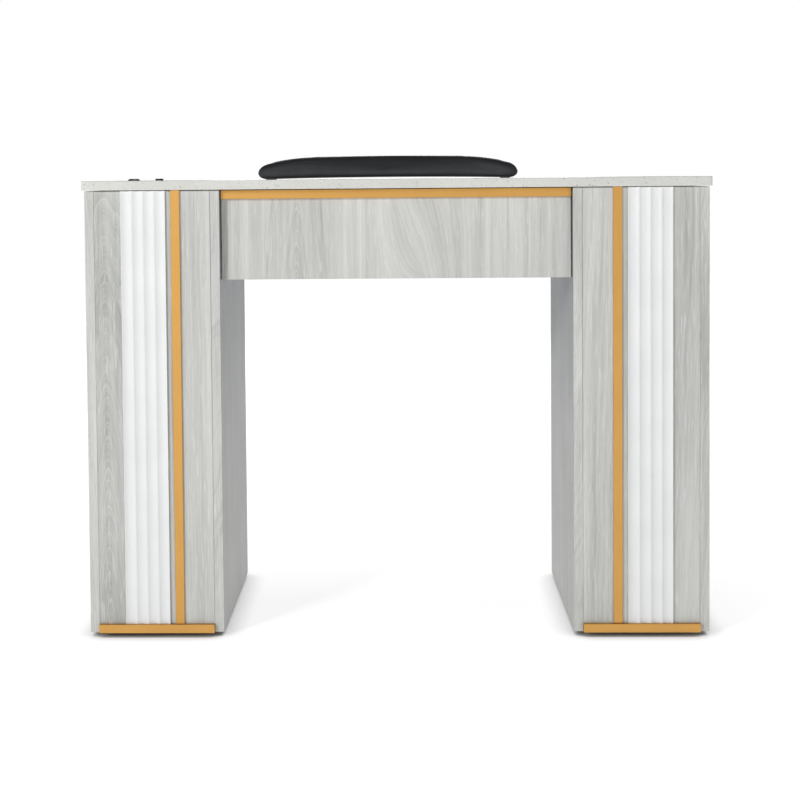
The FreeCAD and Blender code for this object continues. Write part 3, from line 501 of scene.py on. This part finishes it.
# crown and underside above the slab against the distance from an end, past its rounded nose
PAD_CROWN = ((12, 27.3), (27, 31.3), (43, 34.5), (68, 37.4), (101, 39.2), (184, 39.9), (226, 40.0))
PAD_BELLY = ((10, 1.1), (32, 1.1), (110, 2.7), (226, 3.1))
PAD_NOSE_TOP, PAD_NOSE_UNDER = 12.6, 9.8
PAD_NOSE_SLOPE = 0.2
PAD_STATIONS, PAD_AROUND = 84, 40
PAD_UPPER_POWER, PAD_LOWER_POWER = 0.55, 0.30    # below 1, so that a section is squarer than an ellipse
PAD_VOXEL, PAD_PRESSURE, PAD_CAP, PAD_FRAMES = 4.5 * MM, 4.0, 6 * MM, 20
PAD_UNDERSIDE, PAD_HELD_TO = 1.1 * MM, 5.2 * MM  # above the slab
OUTLINE_SLICES = 120
PLEATS, PLEAT_DEPTH, PLEAT_HEIGHT = 22, 0.55 * MM, 19 * MM


def along_table(table, distance):
    """Value at a distance from (distance, value) pairs, in millimetres."""
    for (x0, v0), (x1, v1) in zip(table, table[1:]):
        if distance <= x1:
            return v0 + (v1 - v0) * (distance - x0) / (x1 - x0)
    return table[-1][1]


def nose(distance, tip, table, slope):
    """A height near an end: a quarter of an ellipse from the tip to the table's first point."""
    reach, level = table[0]
    if distance >= reach:
        return along_table(table, distance)
    round_part = math.sqrt(1 - (1 - distance / reach) ** 2)
    return tip + (level - tip - slope * reach) * round_part + slope * distance


def pad_outline(distance):
    """Underside and crown at a distance from an end, in metres."""
    distance = max(0.0, distance) / MM
    under = nose(distance, PAD_NOSE_UNDER, PAD_BELLY, 0.0)
    return under * MM, nose(distance, PAD_NOSE_TOP, PAD_CROWN, PAD_NOSE_SLOPE) * MM


def pad_mesh(centre):
    """The cushion's closed form: rounded sections along its length."""
    shape = bmesh.new()
    rows = []
    for i in range(PAD_STATIONS + 1):
        x = PAD_HALF * math.sin(math.pi / 2 * (2 * i / PAD_STATIONS - 1))
        under, top = pad_outline(PAD_HALF - abs(x))
        past = max(0.0, abs(x) - (PAD_HALF - PAD_CORNER))
        half = PAD_DEPTH - PAD_CORNER + math.sqrt(max(PAD_CORNER ** 2 - past ** 2, 0.0))
        row = []
        for k in range(PAD_AROUND):
            turn = 2 * math.pi * k / PAD_AROUND
            c, s = math.cos(turn), math.sin(turn)
            power = PAD_UPPER_POWER if s > 0 else PAD_LOWER_POWER
            y = half * math.copysign(abs(c) ** power, c)
            z = (top + under) / 2 + (top - under) / 2 * math.copysign(abs(s) ** power, s)
            row.append(shape.verts.new(centre + Vector((x, y, z))))
        rows.append(row)
    for a, b in zip(rows, rows[1:]):
        for k in range(PAD_AROUND):
            j = (k + 1) % PAD_AROUND
            shape.faces.new((a[k], a[j], b[j], b[k]))
    shape.faces.new(rows[0][::-1])
    shape.faces.new(rows[-1])
    bmesh.ops.recalc_face_normals(shape, faces=shape.faces)
    mesh = bpy.data.meshes.new("armrest_pad")
    shape.to_mesh(mesh)
    shape.free()
    return mesh


def link(name, mesh, material):
    piece = bpy.data.objects.new(name, mesh)
    bpy.context.scene.collection.objects.link(piece)
    piece.data.materials.append(material)
    return piece


def apply_modifiers(piece):
    bpy.context.view_layer.update()
    evaluated = piece.evaluated_get(bpy.context.evaluated_depsgraph_get())
    mesh = bpy.data.meshes.new_from_object(evaluated)
    piece.modifiers.clear()
    piece.data = mesh


def inflate(piece):
    """Cloth under pressure, its lowest few millimetres held, each point's travel capped."""
    remesh = piece.modifiers.new("remesh", "REMESH")
    remesh.mode, remesh.voxel_size = "VOXEL", PAD_VOXEL
    apply_modifiers(piece)
    held = piece.vertex_groups.new(name="held")
    under = [v.index for v in piece.data.vertices if v.co.z < SLAB_TOP + PAD_HELD_TO]
    held.add(under, 1.0, "REPLACE")
    start = [v.co.copy() for v in piece.data.vertices]
    cloth = piece.modifiers.new("cloth", "CLOTH")
    settings = cloth.settings
    settings.quality = 6
    settings.mass = 0.4
    settings.tension_stiffness = settings.compression_stiffness = 22
    settings.shear_stiffness = 12
    settings.bending_stiffness = 2.5
    settings.use_pressure = True
    settings.uniform_pressure_force = PAD_PRESSURE
    settings.effector_weights.gravity = 0
    settings.vertex_group_mass = "held"
    scene = bpy.context.scene
    for number in range(1, PAD_FRAMES + 1):
        scene.frame_set(number)
    apply_modifiers(piece)
    scene.frame_set(1)
    for vertex, was in zip(piece.data.vertices, start):
        move = vertex.co - was
        if move.length > PAD_CAP:
            vertex.co = was + move.normalized() * PAD_CAP


def fit_box(piece, low, high):
    """Stretch a mesh so that its box is the given one."""
    co = [v.co for v in piece.data.vertices]
    lo = Vector(min(c[i] for c in co) for i in range(3))
    hi = Vector(max(c[i] for c in co) for i in range(3))
    for vertex in piece.data.vertices:
        for i in range(3):
            share = (vertex.co[i] - lo[i]) / (hi[i] - lo[i])
            vertex.co[i] = low[i] + (high[i] - low[i]) * share


def keep_outline(piece, centre):
    """Rescale each slice's height so that the swollen pad keeps its crown and underside lines."""
    tops, unders = [-1.0] * OUTLINE_SLICES, [1.0] * OUTLINE_SLICES

    def slices_from_end(x):
        return (x / PAD_HALF + 1) / 2 * OUTLINE_SLICES

    for vertex in piece.data.vertices:
        local = vertex.co - centre
        own = min(OUTLINE_SLICES - 1, max(0, int(slices_from_end(local.x))))
        for k in range(max(0, own - 1), min(OUTLINE_SLICES, own + 2)):
            tops[k], unders[k] = max(tops[k], local.z), min(unders[k], local.z)
    for vertex in piece.data.vertices:
        local = vertex.co - centre
        at = min(max(slices_from_end(local.x) - 0.5, 0.0), OUTLINE_SLICES - 1.001)
        k, share = int(at), at - int(at)
        top = tops[k] + (tops[k + 1] - tops[k]) * share
        under = unders[k] + (unders[k + 1] - unders[k]) * share
        low, high = pad_outline(PAD_HALF - abs(local.x))
        vertex.co.z = centre.z + low + (high - low) * (local.z - under) / max(top - under, 1e-4)


def corner_gathers(piece, centre):
    """Shallow pleats where the cover is pulled round the four lower corners."""
    pivot_x, pivot_y = PAD_HALF - PAD_CORNER, PAD_DEPTH - PAD_CORNER
    for vertex in piece.data.vertices:
        local = vertex.co - centre
        past = Vector((abs(local.x) - pivot_x, abs(local.y) - pivot_y))
        if past.x <= 0 or past.y <= 0:
            continue
        turn = math.atan2(past.y, past.x)
        low = max(0.0, 1 - local.z / PLEAT_HEIGHT)
        depth = PLEAT_DEPTH * low * math.sin(2 * turn) * (0.5 + 0.5 * math.cos(turn * PLEATS))
        inward = Vector((math.copysign(past.x, local.x), math.copysign(past.y, local.y), 0))
        vertex.co -= inward.normalized() * depth


def armrest():
    """The cushion: a padded form swollen by simulation, then brought back to its side outline."""
    low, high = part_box("armrest_cushion")
    centre = Vector(((low.x + high.x) / 2, (low.y + high.y) / 2, SLAB_TOP))
    pad = link("armrest_pad", pad_mesh(centre), vinyl())
    inflate(pad)
    low.z = SLAB_TOP + PAD_UNDERSIDE
    fit_box(pad, low, high)
    keep_outline(pad, centre)
    smooth = pad.modifiers.new("smooth", "SMOOTH")
    smooth.factor, smooth.iterations = 0.5, 3
    subdivide = pad.modifiers.new("subdivide", "SUBSURF")
    subdivide.levels = subdivide.render_levels = 1
    apply_modifiers(pad)
    fit_box(pad, low, high)
    corner_gathers(pad, centre)
    pad.data.shade_smooth()
    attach(pad, "armrest")
    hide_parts("armrest_cushion")


armrest()


# ---- studio ---------------------------------------------------------------------------------
PAPER_HALF, CONTACT_REACH, GLOW_REACH = 45.0, 0.06, 3.0
CONTACT_SHADOW = ((0.20, 0.0), (0.50, 0.62), (0.86, 1.0))
GLOW = ((0.30, 0.77), (0.80, 0.92))
# the world's brightness against the upward part of a direction
SKY = ((0.125, (1.0, 1.0, 1.0)), (0.22, (0.36, 0.37, 0.385)), (0.5, (0.130, 0.136, 0.148)))
# name, place, target, size and watts
SOFTBOXES = (
    ("key", (-3.00, -4.05, 2.28), (0, -0.2, 0.5), 0.8, 129.0),
    ("fill", (3.2, -3.9, 1.55), (0, -0.2, 0.5), 1.8, 24.0),
    ("overhead", (0.0, 0.4, 4.6), (0, 0, 0.5), 2.0, 60.0),
    ("rear", (0.0, 4.4, 1.3), (0, 0, 0.4), 1.8, 32.0),
)
CAMERA_PLACE, LENS, SENSOR, SHIFT = (0.01364, -2.87844, 0.78576), 70.66, 36.0, (0.0431, -0.1965)
YAW, PITCH, ROLL = -0.02442, 0.04197, -0.00847


def studio_floor():
    """Grey paper that its glow makes white, more so far away, and less close to what stands on it."""
    shape = bmesh.new()
    bmesh.ops.create_grid(shape, x_segments=2, y_segments=2, size=PAPER_HALF)
    mesh = bpy.data.meshes.new("studio_floor")
    shape.to_mesh(mesh)
    shape.free()
    material, tree, bsdf, place = shader("floor_paper", Roughness=0.9)
    bsdf.inputs["Specular IOR Level"].default_value = 0.1
    bsdf.inputs["Emission Color"].default_value = (1, 1, 1, 1)
    tone = ramp(tree, noise(tree, place, 1.2, 3.0), ((0.3, 0.45), (0.7, 0.47)))
    tree.links.new(tone, bsdf.inputs["Base Color"])
    # painted contact shadow: the glow is dimmed where ambient occlusion finds something standing close
    open_air = node(tree, "AmbientOcclusion", {"Distance": CONTACT_REACH}).outputs["AO"]
    open_air = ramp(tree, open_air, CONTACT_SHADOW)
    reach = node(tree, "VectorMath", {0: place}, operation="LENGTH").outputs["Value"]
    glow = ramp(tree, calc(tree, "DIVIDE", reach, GLOW_REACH), GLOW)
    tree.links.new(calc(tree, "MULTIPLY", open_air, glow), bsdf.inputs["Emission Strength"])
    link("studio_floor", mesh, material)


def studio_world():
    """White near the horizon all round, dim overhead."""
    world = bpy.data.worlds.new("studio")
    bpy.context.scene.world = world
    world.use_nodes = True
    tree = world.node_tree
    direction = node(tree, "TexCoord").outputs["Generated"]
    tree.links.new(ramp(tree, component(tree, direction, 2), SKY), tree.nodes["Background"].inputs["Color"])
    tree.nodes["Background"].inputs["Strength"].default_value = 1.0


def softbox(name, place, target, size, power):
    data = bpy.data.lights.new(name, "AREA")
    data.shape, data.size, data.energy = "SQUARE", size, power
    lamp = bpy.data.objects.new(name, data)
    bpy.context.scene.collection.objects.link(lamp)
    lamp.location = place
    lamp.rotation_euler = (Vector(target) - Vector(place)).to_track_quat("-Z", "Y").to_euler()


def studio_camera():
    """Almost square to the client's side, level with the slab, 2.9 m from the table's middle."""
    forward = Vector((math.sin(YAW) * math.cos(PITCH), math.cos(YAW) * math.cos(PITCH), -math.sin(PITCH)))
    right = Vector((math.cos(YAW), -math.sin(YAW), 0))
    up = right.cross(forward)
    tilted_right = right * math.cos(ROLL) + up * math.sin(ROLL)
    tilted_up = up * math.cos(ROLL) - right * math.sin(ROLL)
    data = bpy.data.cameras.new("studio_camera")
    data.sensor_width, data.lens = SENSOR, LENS
    data.shift_x, data.shift_y = SHIFT
    camera = bpy.data.objects.new("studio_camera", data)
    bpy.context.scene.collection.objects.link(camera)
    turn = Matrix((tilted_right, tilted_up, -forward)).transposed()
    camera.matrix_world = Matrix.Translation(CAMERA_PLACE) @ turn.to_4x4()
    bpy.context.scene.camera = camera


studio_floor()
studio_world()
for lamp_settings in SOFTBOXES:
    softbox(*lamp_settings)
studio_camera()
bpy.context.scene.view_settings.view_transform = "Standard"
